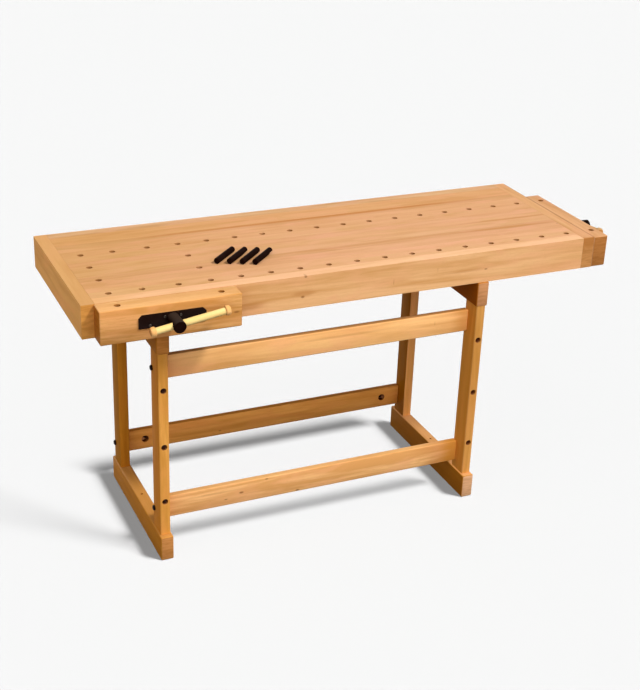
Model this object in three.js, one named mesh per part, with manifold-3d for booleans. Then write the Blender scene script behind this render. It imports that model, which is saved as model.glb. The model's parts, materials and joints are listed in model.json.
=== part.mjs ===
// A woodworking bench with a front vise, a tail vise and four loose bench dogs.
// Millimetres, +Z up. X runs along the bench to the tail vise and Y runs from the front to the rear.
// While it is drawn, x = 0 is the left end of the top, y = 0 its front face and z = 0 the floor.

import * as THREE from "three";
import { mergeVertices } from "three/addons/utils/BufferGeometryUtils.js";
import Module from "manifold-3d";

// Clearances
const SEAT_GAP = 0.3; // glued, bolted or resting faces
const RUN_GAP = 0.4; // faces and bores that slide or turn
const EASED_EDGE = 2.5; // chamfer on the edges of legs, feet, stretchers and jaws
const FINE_SIDES = 24; // facets of hubs, knobs and dogs
const ROD_SIDES = 20; // facets of screws, guide rods, handles and their bores
const HOLE_SIDES = 16; // facets of dog holes and cross holes
const SMALL_SIDES = 12; // facets of bolts, dowels and their bores

// Top
const BENCH_HEIGHT = 900;
const TOP_LENGTH = 1728;
const TOP_DEPTH = 585;
const APRON_HEIGHT = 105;
const APRON_THICKNESS = 40;
const END_CAP_WIDTH = 41;
const SLAB_THICKNESS = 30;
const FRONT_BOARD_WIDTH = 74;
const MIDDLE_BOARD_WIDTH = 203;
const REAR_DOG_BOARD_WIDTH = 153;
const TONGUE_THICKNESS = 12;
const TONGUE_LENGTH = 10;
const APRON_TENON_THICKNESS = 14;
const APRON_TENON_HEIGHT = 60;
const APRON_TENON_LENGTH = 12;

// Dog holes and dogs
const DOG_DIAMETER = 19;
const DOG_LENGTH = 115;
const DOG_CHAMFER = 2;
const DOG_FLAT_LENGTH = 24;
const DOG_FLAT_DEPTH = 3;
const DOG_HOLE_CLEARANCE = 0.6;
const FIRST_COLUMN = 97.6;
const SIDE_COLUMN_STEP = 100.5; // between a guide rod's two neighbours
const SCREW_COLUMN_STEP = 111.3; // across the front vise screw
const COLUMN_PITCH = 96;
const LAST_COLUMN_MARGIN = 25; // least distance from the last column to the right end cap
const FIRST_ROW = 62.6;
const ROW_PITCH = 104.7;
const JAW_HOLE_INSET = 29.5; // from the face behind the jaw to the centre of the jaw's holes
const JAW_HOLE_EDGE = 8; // least wood left beside a hole in a jaw

// Vises
const FRONT_JAW_START = 36.5;
const FRONT_JAW_LENGTH = 427;
const FRONT_JAW_THICKNESS = 61.5;
const TAIL_JAW_LENGTH = 432;
const TAIL_JAW_THICKNESS = 53;
const JAW_TRAVEL = 150;
const PLATE_LENGTH = 203;
const PLATE_HEIGHT = 42;
const PLATE_THICKNESS = 4;
const PLATE_CHAMFER = 10;
const SCREW_DIAMETER = 22;
const COLLAR_DIAMETER = 30;
const COLLAR_THICKNESS = 6;
const SCREW_TAIL = 15; // left inside the nut plate when the jaw is fully open
const ROD_DIAMETER = 18;
const ROD_SPACING = 170;
const ROD_SEAT_DEPTH = 40; // how far a guide rod sits in the jaw
const NUT_PLATE_LENGTH = 78;
const NUT_PLATE_HEIGHT = 32;
const NUT_PLATE_THICKNESS = 24;
const NUT_PLATE_HEADROOM = 1; // below the slab
const HUB_DIAMETER = 38;
const HUB_LENGTH = 67;
const HUB_CHAMFER = 2;
const SPIGOT_DIAMETER = 16; // front end of the screw, held in the hub
const SPIGOT_LENGTH = 28;
const HANDLE_SETBACK = 20; // from the hub's end to the handle's axis
const HANDLE_DIAMETER = 21;
const HANDLE_LENGTH = 244;
const HANDLE_SPIGOT_DIAMETER = 12;
const HANDLE_SPIGOT_LENGTH = 10;
const KNOB_DIAMETER = 30;
const KNOB_LENGTH = 17;
const KNOB_DOME = 8;
const FRONT_HANDLE_TILT = 9; // degrees, right end up
const FRONT_HANDLE_SHIFT = 38;
const TAIL_HANDLE_TILT = -6; // degrees, front end up
const TAIL_HANDLE_SHIFT = 16;

// Base
const LEFT_TRESTLE = 238.5; // middle of the left trestle
const TRESTLE_SPACING = 1078;
const TRESTLE_THICKNESS = 40;
const FOOT_LENGTH = 552;
const FOOT_HEIGHT = 83;
const FOOT_OVERHANG = 18;
const FLOOR_HOLE_DIAMETER = 8;
const BEARER_HEIGHT = 84;
const BEARER_FRONT_PROUD = 3;
const BEARER_REAR_SETBACK = 5;
const LEG_THICKNESS = 32;
const LEG_DEPTH = 72;
const TENON_THICKNESS = 14;
const TENON_SHOULDER = 11; // at the front and rear of a leg tenon
const TENON_LENGTH = 55;
const TOP_LEG_HOLE_DROP = 54; // from the middle of the upper stretcher to the top hole of a leg
const LEG_HOLE_PITCH = 193;
const LEG_HOLES = 3;
const STRETCHER_THICKNESS = 23;
const STRETCHER_HEIGHT = 76;
const LOWER_STRETCHER_LEVEL = 150;
const UPPER_STRETCHER_DROP = 68.7; // from under the bearer to the middle of the upper stretcher
const BOLT_DIAMETER = 8;
const BOLT_HEAD_DIAMETER = 18;
const BOLT_HEAD_HEIGHT = 6;
const BOLT_CROWN_DIAMETER = 11; // flat on top of the rounded head
const BOLT_END = 5; // thread showing past the nut
const CROSS_HOLE_DIAMETER = 26;
const CROSS_HOLE_INSET = 69; // from the end of the stretcher
const NUT_ACROSS_FLATS = 13;
const NUT_THICKNESS = 6.5;
const HALF_WASHER_THICKNESS = 5;
const HALF_WASHER_WIDTH = 13;
const DOWEL_DIAMETER = 12;
const DOWEL_SEAT = 20;

// Where the four dogs lie: the middle of the first, the step to the next, their common direction,
// and how far each has rolled, in degrees
const DOG_PLACE = new THREE.Vector2(509, 215.6);
const DOG_STEP = new THREE.Vector2(36, -15.1);
const DOG_ANGLE = 44.5;
const DOG_ROLLS = [180, 60, 90, 45];

// Heights and places that follow from the sizes above
const topUnderside = BENCH_HEIGHT - APRON_HEIGHT;
const slabUnderside = BENCH_HEIGHT - SLAB_THICKNESS;
const screwLevel = slabUnderside - NUT_PLATE_HEADROOM - NUT_PLATE_HEIGHT / 2;
const frontViseX = FRONT_JAW_START + FRONT_JAW_LENGTH / 2;
const tailViseY = TAIL_JAW_LENGTH / 2;
const rightTrestle = LEFT_TRESTLE + TRESTLE_SPACING;
const footFront = -FOOT_OVERHANG;
const rearLegFront = footFront + FOOT_LENGTH - FOOT_OVERHANG - LEG_DEPTH;
const bearerTop = topUnderside - SEAT_GAP;
const bearerUnderside = bearerTop - BEARER_HEIGHT;
const upperStretcherLevel = bearerUnderside - UPPER_STRETCHER_DROP;
const topLegHole = upperStretcherLevel - TOP_LEG_HOLE_DROP;
const dogHoleRadius = (DOG_DIAMETER + DOG_HOLE_CLEARANCE) / 2;
const nutPocket = Math.max(HALF_WASHER_WIDTH, NUT_ACROSS_FLATS) / 2 + SEAT_GAP;
const screwBore = SCREW_DIAMETER / 2 + RUN_GAP;
const rodBore = ROD_DIAMETER / 2 + RUN_GAP;
const boltBore = BOLT_DIAMETER / 2 + SEAT_GAP;
const dowelSpan = [bearerTop - DOWEL_SEAT, topUnderside + DOWEL_SEAT];
const hubReach = SEAT_GAP + PLATE_THICKNESS + RUN_GAP + HUB_LENGTH;

const wasm = await Module();
wasm.setup();

const rad = THREE.MathUtils.degToRad;

const beech = { color: 0xd9a56c, roughness: 0.55, metalness: 0 };
const oiledBeech = { color: 0xc08a4a, roughness: 0.55, metalness: 0 };
const birch = { color: 0xe3c27e, roughness: 0.5, metalness: 0 };
const blackSteel = { color: 0x17171a, roughness: 0.42, metalness: 0.7 };
const brightSteel = { color: 0xb9bcc0, roughness: 0.35, metalness: 1 };
const castIron = { color: 0x2c2d2f, roughness: 0.6, metalness: 0.6 };

// A closed three.js geometry as a solid, without the triangles that collapse on a lathe's axis.
function solid(geometry) {
  geometry.deleteAttribute("normal");
  geometry.deleteAttribute("uv");
  const merged = mergeVertices(geometry, 1e-4);
  const corners = merged.index.array;
  const kept = [];
  for (let i = 0; i < corners.length; i += 3) {
    const [a, b, c] = [corners[i], corners[i + 1], corners[i + 2]];
    if (a !== b && b !== c && c !== a) kept.push(a, b, c);
  }
  return new wasm.Manifold(
    new wasm.Mesh({
      numProp: 3,
      vertProperties: new Float32Array(merged.attributes.position.array),
      triVerts: new Uint32Array(kept),
    }),
  );
}

function piece(name, shape, look) {
  const { vertProperties, triVerts } = shape.getMesh();
  const geometry = new THREE.BufferGeometry();
  geometry.setAttribute("position", new THREE.BufferAttribute(vertProperties, 3));
  geometry.setIndex(new THREE.BufferAttribute(triVerts, 1));
  geometry.computeVertexNormals();
  const mesh = new THREE.Mesh(geometry, new THREE.MeshStandardMaterial({ ...look, flatShading: true }));
  mesh.name = name;
  return mesh;
}

const cut = (body, tools) => tools.reduce((rest, tool) => rest.subtract(tool), body);
const join = (bodies) => bodies.reduce((whole, body) => whole.add(body));
const grown = ([a, b]) => [a - SEAT_GAP, b + SEAT_GAP];

function block([x0, x1], [y0, y1], [z0, z1]) {
  const box = new THREE.BoxGeometry(x1 - x0, y1 - y0, z1 - z0);
  return solid(box.translate((x0 + x1) / 2, (y0 + y1) / 2, (z0 + z1) / 2));
}

// A block with its upright edges chamfered, and also the edges of its two ends where easeEnds is set.
function easedBlock([x0, x1], [y0, y1], [z0, z1], easeEnds) {
  const e = EASED_EDGE;
  const outline = new THREE.Shape();
  outline.moveTo(x0 + e, y0);
  outline.lineTo(x1 - e, y0);
  outline.lineTo(x1, y0 + e);
  outline.lineTo(x1, y1 - e);
  outline.lineTo(x1 - e, y1);
  outline.lineTo(x0 + e, y1);
  outline.lineTo(x0, y1 - e);
  outline.lineTo(x0, y0 + e);
  outline.closePath();
  const end = easeEnds ? e : 0;
  const bar = new THREE.ExtrudeGeometry(outline, {
    depth: z1 - z0 - 2 * end,
    bevelEnabled: easeEnds,
    bevelThickness: e,
    bevelSize: e,
    bevelOffset: -e,
    bevelSegments: 1,
  });
  return solid(bar.translate(0, 0, z0 + end));
}

// A turned solid about the local Y axis. Each step of the profile is [radius, distance along the axis].
function turned(profile, sides) {
  const points = profile.map(([radius, along]) => new THREE.Vector2(radius, along));
  return solid(new THREE.LatheGeometry(points, sides));
}

function rodAlongX(y, z, radius, [x0, x1], sides) {
  const rod = new THREE.CylinderGeometry(radius, radius, x1 - x0, sides);
  return solid(rod.rotateZ(-Math.PI / 2).translate((x0 + x1) / 2, y, z));
}

function rodAlongY(x, z, radius, [y0, y1], sides) {
  const rod = new THREE.CylinderGeometry(radius, radius, y1 - y0, sides);
  return solid(rod.translate(x, (y0 + y1) / 2, z));
}

function rodAlongZ(x, y, radius, [z0, z1], sides) {
  const rod = new THREE.CylinderGeometry(radius, radius, z1 - z0, sides);
  return solid(rod.rotateX(Math.PI / 2).translate(x, y, (z0 + z1) / 2));
}

// Columns of dog holes along the top. The first four leave room for the front vise's screw and rods.
function dogColumns() {
  const columns = [FIRST_COLUMN];
  for (const step of [SIDE_COLUMN_STEP, SCREW_COLUMN_STEP, SIDE_COLUMN_STEP]) {
    columns.push(columns.at(-1) + step);
  }
  const limit = TOP_LENGTH - END_CAP_WIDTH - LAST_COLUMN_MARGIN;
  while (columns.at(-1) + COLUMN_PITCH <= limit) columns.push(columns.at(-1) + COLUMN_PITCH);
  return columns;
}

const columns = dogColumns();
const rows = [0, 1, 2, 3].map((i) => FIRST_ROW + i * ROW_PITCH);
const viseColumns = [columns[0], columns[3]];

// Centres of the holes in the top: full front and rear rows, and middle rows behind the front jaw's holes.
const topHoles = rows.flatMap((y, i) => {
  const across = i === 0 || i === rows.length - 1 ? columns : viseColumns;
  return across.map((x) => [x, y]);
});

const viseOffsets = [-ROD_SPACING / 2, ROD_SPACING / 2];

// The socket of a dowel between a bearer and an apron.
function dowelSocket(x, y) {
  return rodAlongZ(x, y, DOWEL_DIAMETER / 2 + SEAT_GAP, grown(dowelSpan), SMALL_SIDES);
}

// Top: aprons and end caps round a field of boards held in grooves.
function buildTop() {
  const top = new THREE.Group();
  const fieldStart = END_CAP_WIDTH + SEAT_GAP;
  const fieldEnd = TOP_LENGTH - END_CAP_WIDTH - SEAT_GAP;
  const height = [topUnderside, BENCH_HEIGHT];
  const tongueReach = [fieldStart - TONGUE_LENGTH, fieldEnd + TONGUE_LENGTH];
  const tenonReach = [fieldStart - APRON_TENON_LENGTH, fieldEnd + APRON_TENON_LENGTH];
  const tongueMiddle = BENCH_HEIGHT - SLAB_THICKNESS / 2;
  const tongue = [tongueMiddle - TONGUE_THICKNESS / 2, tongueMiddle + TONGUE_THICKNESS / 2];
  const tenonMiddle = BENCH_HEIGHT - APRON_HEIGHT / 2;
  const tenon = [tenonMiddle - APRON_TENON_HEIGHT / 2, tenonMiddle + APRON_TENON_HEIGHT / 2];
  const apronSpans = { front: [0, APRON_THICKNESS], rear: [TOP_DEPTH - APRON_THICKNESS, TOP_DEPTH] };
  const tenonSpan = ([y0, y1]) => {
    const middle = (y0 + y1) / 2;
    return [middle - APRON_TENON_THICKNESS / 2, middle + APRON_TENON_THICKNESS / 2];
  };
  const dowelSockets = [LEFT_TRESTLE, rightTrestle].flatMap((x) =>
    Object.values(apronSpans).map(([y0, y1]) => dowelSocket(x, (y0 + y1) / 2)),
  );

  for (const [side, span] of Object.entries(apronSpans)) {
    const rail = join([
      block([fieldStart, fieldEnd], span, height),
      block(tenonReach, tenonSpan(span), tenon),
    ]);
    const bores = [...dowelSockets];
    if (side === "front") {
      const through = grown(span);
      bores.push(rodAlongY(frontViseX, screwLevel, screwBore, through, ROD_SIDES));
      for (const offset of viseOffsets) {
        bores.push(rodAlongY(frontViseX + offset, screwLevel, rodBore, through, ROD_SIDES));
      }
    }
    top.add(piece(`${side}_apron`, cut(rail, bores), beech));
  }

  const field = [APRON_THICKNESS + SEAT_GAP, TOP_DEPTH - APRON_THICKNESS - SEAT_GAP];
  const groove = block(grown(tongueReach), field, grown(tongue));
  const mortises = Object.values(apronSpans).map((span) =>
    block(grown(tenonReach), grown(tenonSpan(span)), grown(tenon)),
  );
  const caps = { left: [0, END_CAP_WIDTH], right: [TOP_LENGTH - END_CAP_WIDTH, TOP_LENGTH] };
  for (const [side, span] of Object.entries(caps)) {
    const bores = [groove, ...mortises];
    if (side === "right") {
      const through = grown(span);
      bores.push(rodAlongX(tailViseY, screwLevel, screwBore, through, ROD_SIDES));
      for (const offset of viseOffsets) {
        bores.push(rodAlongX(tailViseY + offset, screwLevel, rodBore, through, ROD_SIDES));
      }
    }
    top.add(piece(`${side}_end_cap`, cut(block(span, [0, TOP_DEPTH], height), bores), beech));
  }

  const slab = [slabUnderside, BENCH_HEIGHT];
  const seams = [field[0]];
  for (const width of [FRONT_BOARD_WIDTH, MIDDLE_BOARD_WIDTH, REAR_DOG_BOARD_WIDTH]) {
    seams.push(seams.at(-1) + width);
  }
  seams.push(field[1] + SEAT_GAP);
  for (const [i, name] of ["front_dog_board", "middle_board", "rear_dog_board", "rear_board"].entries()) {
    const span = [seams[i], seams[i + 1] - SEAT_GAP];
    const plank = join([block([fieldStart, fieldEnd], span, slab), block(tongueReach, span, tongue)]);
    const holes = topHoles
      .filter(([, y]) => y + dogHoleRadius > span[0] && y - dogHoleRadius < span[1])
      .map(([x, y]) => rodAlongZ(x, y, dogHoleRadius, grown(slab), HOLE_SIDES));
    top.add(piece(name, cut(plank, holes), beech));
  }
  return top;
}

// One vise about its screw. The jaw moves toward -Y, X runs along the jaw, and y = 0 is the face behind it.
function buildVise(name, { jawLength, jawThickness, wall, holes, tilt, shift }) {
  const vise = new THREE.Group();
  const jawBack = -RUN_GAP;
  const jawFront = jawBack - jawThickness;
  const plateBack = jawFront - SEAT_GAP;
  const plateFront = plateBack - PLATE_THICKNESS;
  const hubBack = plateFront - RUN_GAP;
  const hubEnd = hubBack - HUB_LENGTH;
  const nutFront = wall + SEAT_GAP;
  const nutBack = nutFront + NUT_PLATE_THICKNESS;
  const tail = nutBack + JAW_TRAVEL + SCREW_TAIL;
  const screwRadius = SCREW_DIAMETER / 2;
  const rodRadius = ROD_DIAMETER / 2;
  const collarRadius = COLLAR_DIAMETER / 2;
  const collarFront = jawFront + RUN_GAP;
  const collarBack = collarFront + COLLAR_THICKNESS;
  const collarPocket = [jawFront - SEAT_GAP, collarBack + RUN_GAP];
  const rodFront = jawBack - ROD_SEAT_DEPTH;

  const jawHeight = [topUnderside, BENCH_HEIGHT];
  const jawDepth = [jawFront, jawBack];
  const jaw = easedBlock([-jawLength / 2, jawLength / 2], jawDepth, jawHeight, true);
  const usable = jawLength / 2 - dogHoleRadius - JAW_HOLE_EDGE;
  const jawCuts = [
    rodAlongY(0, screwLevel, screwBore, grown(jawDepth), ROD_SIDES),
    rodAlongY(0, screwLevel, collarRadius + RUN_GAP, collarPocket, ROD_SIDES),
    ...viseOffsets.map((x) =>
      rodAlongY(x, screwLevel, rodRadius + SEAT_GAP, grown([rodFront, jawBack]), ROD_SIDES),
    ),
    ...holes
      .filter((x) => Math.abs(x) <= usable)
      .map((x) => rodAlongZ(x, -JAW_HOLE_INSET, dogHoleRadius, grown(jawHeight), HOLE_SIDES)),
  ];
  vise.add(piece(`${name}_jaw`, cut(jaw, jawCuts), beech));

  const plate = new THREE.Shape();
  plate.moveTo(-PLATE_LENGTH / 2, -PLATE_HEIGHT / 2);
  plate.lineTo(PLATE_LENGTH / 2, -PLATE_HEIGHT / 2);
  plate.lineTo(PLATE_LENGTH / 2, PLATE_HEIGHT / 2 - PLATE_CHAMFER);
  plate.lineTo(PLATE_LENGTH / 2 - PLATE_CHAMFER, PLATE_HEIGHT / 2);
  plate.lineTo(PLATE_CHAMFER - PLATE_LENGTH / 2, PLATE_HEIGHT / 2);
  plate.lineTo(-PLATE_LENGTH / 2, PLATE_HEIGHT / 2 - PLATE_CHAMFER);
  plate.closePath();
  const sheet = new THREE.ExtrudeGeometry(plate, { depth: PLATE_THICKNESS, bevelEnabled: false });
  sheet.rotateX(Math.PI / 2).translate(0, plateBack, screwLevel);
  const plateHole = rodAlongY(0, screwLevel, screwBore, grown([plateFront, plateBack]), ROD_SIDES);
  vise.add(piece(`${name}_jaw_plate`, solid(sheet).subtract(plateHole), blackSteel));

  const spigotEnd = hubBack - SPIGOT_LENGTH;
  const screw = turned(
    [
      [0, spigotEnd],
      [SPIGOT_DIAMETER / 2, spigotEnd],
      [SPIGOT_DIAMETER / 2, hubBack + SEAT_GAP],
      [screwRadius, hubBack + SEAT_GAP],
      [screwRadius, collarFront],
      [collarRadius, collarFront],
      [collarRadius, collarBack],
      [screwRadius, collarBack],
      [screwRadius, tail - EASED_EDGE],
      [screwRadius - EASED_EDGE, tail],
      [0, tail],
    ],
    ROD_SIDES,
  );
  vise.add(piece(`${name}_screw`, screw.translate([0, 0, screwLevel]), brightSteel));

  const hub = turned(
    [
      [0, hubEnd],
      [HUB_DIAMETER / 2 - HUB_CHAMFER, hubEnd],
      [HUB_DIAMETER / 2, hubEnd + HUB_CHAMFER],
      [HUB_DIAMETER / 2, hubBack],
      [SPIGOT_DIAMETER / 2 + SEAT_GAP, hubBack],
      [SPIGOT_DIAMETER / 2 + SEAT_GAP, spigotEnd - SEAT_GAP],
      [0, spigotEnd - SEAT_GAP],
    ],
    FINE_SIDES,
  );
  const handleAxis = hubEnd + HANDLE_SETBACK;
  const turnedParts = new THREE.Group();
  turnedParts.position.set(0, 0, screwLevel);
  turnedParts.rotation.y = -rad(tilt);
  const handleBore = HANDLE_DIAMETER / 2 + RUN_GAP;
  const crossBore = rodAlongX(handleAxis, 0, handleBore, [-HUB_DIAMETER, HUB_DIAMETER], ROD_SIDES);
  turnedParts.add(piece(`${name}_hub`, cut(hub, [crossBore]), blackSteel));

  const shoulder = HANDLE_LENGTH / 2 - KNOB_LENGTH;
  const pinEnd = shoulder + HANDLE_SPIGOT_LENGTH;
  const pinRadius = HANDLE_SPIGOT_DIAMETER / 2;
  const handle = new THREE.Group();
  handle.position.set(shift, handleAxis, 0);
  handle.rotation.z = -Math.PI / 2;
  const bar = turned(
    [
      [0, -pinEnd],
      [pinRadius, -pinEnd],
      [pinRadius, -shoulder],
      [HANDLE_DIAMETER / 2, -shoulder],
      [HANDLE_DIAMETER / 2, shoulder],
      [pinRadius, shoulder],
      [pinRadius, pinEnd],
      [0, pinEnd],
    ],
    ROD_SIDES,
  );
  handle.add(piece(`${name}_handle_bar`, bar, birch));
  const knobBore = pinRadius + SEAT_GAP;
  const socketEnd = HANDLE_SPIGOT_LENGTH;
  const domeRadius = KNOB_DIAMETER / 2;
  const dome = [1, 2].map((i) => {
    const turn = (i / 3) * (Math.PI / 2);
    return [domeRadius - KNOB_DOME * (1 - Math.cos(turn)), KNOB_LENGTH - KNOB_DOME * (1 - Math.sin(turn))];
  });
  const knob = turned(
    [
      [0, socketEnd + SEAT_GAP],
      [knobBore, socketEnd + SEAT_GAP],
      [knobBore, SEAT_GAP],
      [domeRadius - EASED_EDGE, SEAT_GAP],
      [domeRadius, SEAT_GAP + EASED_EDGE],
      [domeRadius, KNOB_LENGTH - KNOB_DOME],
      ...dome,
      [domeRadius - KNOB_DOME, KNOB_LENGTH],
      [0, KNOB_LENGTH],
    ],
    FINE_SIDES,
  );
  for (const [i, way] of [1, -1].entries()) {
    const knobMesh = piece(`${name}_handle_knob_${i + 1}`, knob, birch);
    knobMesh.position.y = way * shoulder;
    if (way < 0) knobMesh.rotation.x = Math.PI;
    handle.add(knobMesh);
  }
  turnedParts.add(handle);
  vise.add(turnedParts);

  for (const [i, x] of viseOffsets.entries()) {
    const rod = rodAlongY(x, screwLevel, rodRadius, [rodFront, tail], ROD_SIDES);
    vise.add(piece(`${name}_guide_rod_${i + 1}`, rod, brightSteel));
  }

  const nutHalf = NUT_PLATE_LENGTH / 2;
  const nutPlate = block(
    [-nutHalf, nutHalf],
    [nutFront, nutBack],
    [screwLevel - NUT_PLATE_HEIGHT / 2, screwLevel + NUT_PLATE_HEIGHT / 2],
  );
  const nutBore = rodAlongY(0, screwLevel, screwBore, grown([nutFront, nutBack]), ROD_SIDES);
  vise.add(piece(`${name}_nut_plate`, nutPlate.subtract(nutBore), castIron));
  return vise;
}

// Base: two trestles of a foot, two tenoned legs and a bearer, tied by three bolted stretchers.
function buildBase() {
  const base = new THREE.Group();
  const half = TRESTLE_THICKNESS / 2;
  const legHalf = LEG_THICKNESS / 2;
  const tenonHalf = TENON_THICKNESS / 2;
  const legBottom = FOOT_HEIGHT + SEAT_GAP;
  const legTop = bearerUnderside - SEAT_GAP;
  const tenonEnds = [legBottom - TENON_LENGTH, legTop + TENON_LENGTH];
  const legs = { front: 0, rear: rearLegFront };
  const trestles = { left: LEFT_TRESTLE, right: rightTrestle };
  const leftLegFace = LEFT_TRESTLE + legHalf + SEAT_GAP;
  const rightLegFace = rightTrestle - legHalf - SEAT_GAP;
  const stretchers = [
    ["upper_front_stretcher", "front", upperStretcherLevel],
    ["lower_front_stretcher", "front", LOWER_STRETCHER_LEVEL],
    ["rear_stretcher", "rear", LOWER_STRETCHER_LEVEL],
  ];
  const boltLine = (row) => legs[row] + LEG_DEPTH - STRETCHER_THICKNESS / 2;
  const boltReach = CROSS_HOLE_INSET + BOLT_END;

  for (const [side, x] of Object.entries(trestles)) {
    const mortises = Object.values(legs).map((front) =>
      block(
        [x - tenonHalf - SEAT_GAP, x + tenonHalf + SEAT_GAP],
        [front + TENON_SHOULDER - SEAT_GAP, front + LEG_DEPTH - TENON_SHOULDER + SEAT_GAP],
        [tenonEnds[0] - SEAT_GAP, tenonEnds[1] + SEAT_GAP],
      ),
    );
    const width = [x - half, x + half];
    const footHeight = [0, FOOT_HEIGHT];
    const footMiddle = footFront + FOOT_LENGTH / 2;
    const foot = easedBlock(width, [footFront, footFront + FOOT_LENGTH], footHeight, true);
    const floorHole = rodAlongZ(x, footMiddle, FLOOR_HOLE_DIAMETER / 2, grown(footHeight), SMALL_SIDES);
    base.add(piece(`${side}_foot`, cut(foot, [...mortises, floorHole]), oiledBeech));

    const bearerSpan = [-BEARER_FRONT_PROUD, TOP_DEPTH - BEARER_REAR_SETBACK];
    const bearer = easedBlock(width, bearerSpan, [bearerUnderside, bearerTop], true);
    const dowelLines = [APRON_THICKNESS / 2, TOP_DEPTH - APRON_THICKNESS / 2];
    const sockets = dowelLines.map((y) => dowelSocket(x, y));
    base.add(piece(`${side}_bearer`, cut(bearer, [...mortises, ...sockets]), oiledBeech));
    for (const [i, y] of dowelLines.entries()) {
      const dowel = rodAlongZ(x, y, DOWEL_DIAMETER / 2, dowelSpan, SMALL_SIDES);
      base.add(piece(`${side}_top_dowel_${i + 1}`, dowel, birch));
    }

    for (const [row, front] of Object.entries(legs)) {
      const depth = [front, front + LEG_DEPTH];
      const leg = join([
        easedBlock([x - legHalf, x + legHalf], depth, [legBottom, legTop], false),
        block(
          [x - tenonHalf, x + tenonHalf],
          [front + TENON_SHOULDER, front + LEG_DEPTH - TENON_SHOULDER],
          tenonEnds,
        ),
      ]);
      const bores = stretchers
        .filter(([, at]) => at === row)
        .map(([, , level]) =>
          rodAlongX(boltLine(row), level, boltBore, grown([x - legHalf, x + legHalf]), SMALL_SIDES),
        );
      if (row === "front") {
        for (let i = 0; i < LEG_HOLES; i += 1) {
          const level = topLegHole - i * LEG_HOLE_PITCH;
          bores.push(rodAlongY(x, level, dogHoleRadius, grown(depth), HOLE_SIDES));
        }
      }
      base.add(piece(`${side}_${row}_leg`, cut(leg, bores), oiledBeech));
    }
  }

  for (const [name, row, level] of stretchers) {
    const back = legs[row] + LEG_DEPTH;
    const span = [back - STRETCHER_THICKNESS, back];
    const middle = boltLine(row);
    const rail = easedBlock(
      [leftLegFace, rightLegFace],
      span,
      [level - STRETCHER_HEIGHT / 2, level + STRETCHER_HEIGHT / 2],
      true,
    );
    const inner = row === "front" ? span[1] + SEAT_GAP : span[0] - SEAT_GAP;
    const floor = middle + Math.sign(middle - inner) * nutPocket;
    const pocket = [Math.min(inner, floor), Math.max(inner, floor)];
    const ends = { left: [leftLegFace, 1], right: [rightLegFace, -1] };
    const bores = Object.values(ends).flatMap(([face, way]) => {
      const ordered = [face - way * SEAT_GAP, face + way * (boltReach + SEAT_GAP)].sort((a, b) => a - b);
      return [
        rodAlongY(face + way * CROSS_HOLE_INSET, level, CROSS_HOLE_DIAMETER / 2, pocket, HOLE_SIDES),
        rodAlongX(middle, level, boltBore, ordered, SMALL_SIDES),
      ];
    });
    base.add(piece(name, cut(rail, bores), oiledBeech));

    for (const [side, [face, way]] of Object.entries(ends)) {
      const headSeat = face - way * (LEG_THICKNESS + 2 * SEAT_GAP);
      const grip = LEG_THICKNESS + 2 * SEAT_GAP + boltReach;
      const shank = BOLT_DIAMETER / 2;
      const head = BOLT_HEAD_DIAMETER / 2;
      const bolt = turned(
        [
          [0, -BOLT_HEAD_HEIGHT],
          [BOLT_CROWN_DIAMETER / 2, -BOLT_HEAD_HEIGHT],
          [head, -BOLT_HEAD_HEIGHT / 2],
          [head, 0],
          [shank, 0],
          [shank, grip],
          [0, grip],
        ],
        SMALL_SIDES,
      );
      const boltMesh = piece(`${name}_bolt_${side}`, bolt, blackSteel);
      boltMesh.position.set(headSeat, middle, level);
      boltMesh.rotation.z = -way * (Math.PI / 2);
      base.add(boltMesh);

      const nutMesh = piece(`${name}_nut_${side}`, crossNut(), brightSteel);
      nutMesh.position.set(face + way * CROSS_HOLE_INSET, middle, level);
      nutMesh.rotation.z = way < 0 ? 0 : Math.PI;
      base.add(nutMesh);
    }
  }
  return base;
}

// The nut in a cross hole: a half-moon washer against the hole's wall at +X with a hexagon nut on its flat.
function crossNut() {
  const radius = CROSS_HOLE_DIAMETER / 2 - SEAT_GAP;
  const flat = radius - HALF_WASHER_THICKNESS;
  const reach = Math.acos(flat / radius);
  const moon = new THREE.Shape();
  moon.absarc(0, 0, radius, -reach, reach, false);
  moon.closePath();
  const washer = new THREE.ExtrudeGeometry(moon, {
    depth: HALF_WASHER_WIDTH,
    bevelEnabled: false,
    curveSegments: 5,
  });
  washer.translate(0, 0, -HALF_WASHER_WIDTH / 2).rotateX(Math.PI / 2);
  const nut = new THREE.CylinderGeometry(
    NUT_ACROSS_FLATS / Math.sqrt(3),
    NUT_ACROSS_FLATS / Math.sqrt(3),
    NUT_THICKNESS + SEAT_GAP,
    6,
  );
  nut.rotateZ(-Math.PI / 2).translate(flat - (NUT_THICKNESS - SEAT_GAP) / 2, 0, 0);
  const bore = rodAlongX(0, 0, boltBore, [-CROSS_HOLE_DIAMETER, CROSS_HOLE_DIAMETER], SMALL_SIDES);
  return solid(washer).add(solid(nut)).subtract(bore);
}

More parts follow.
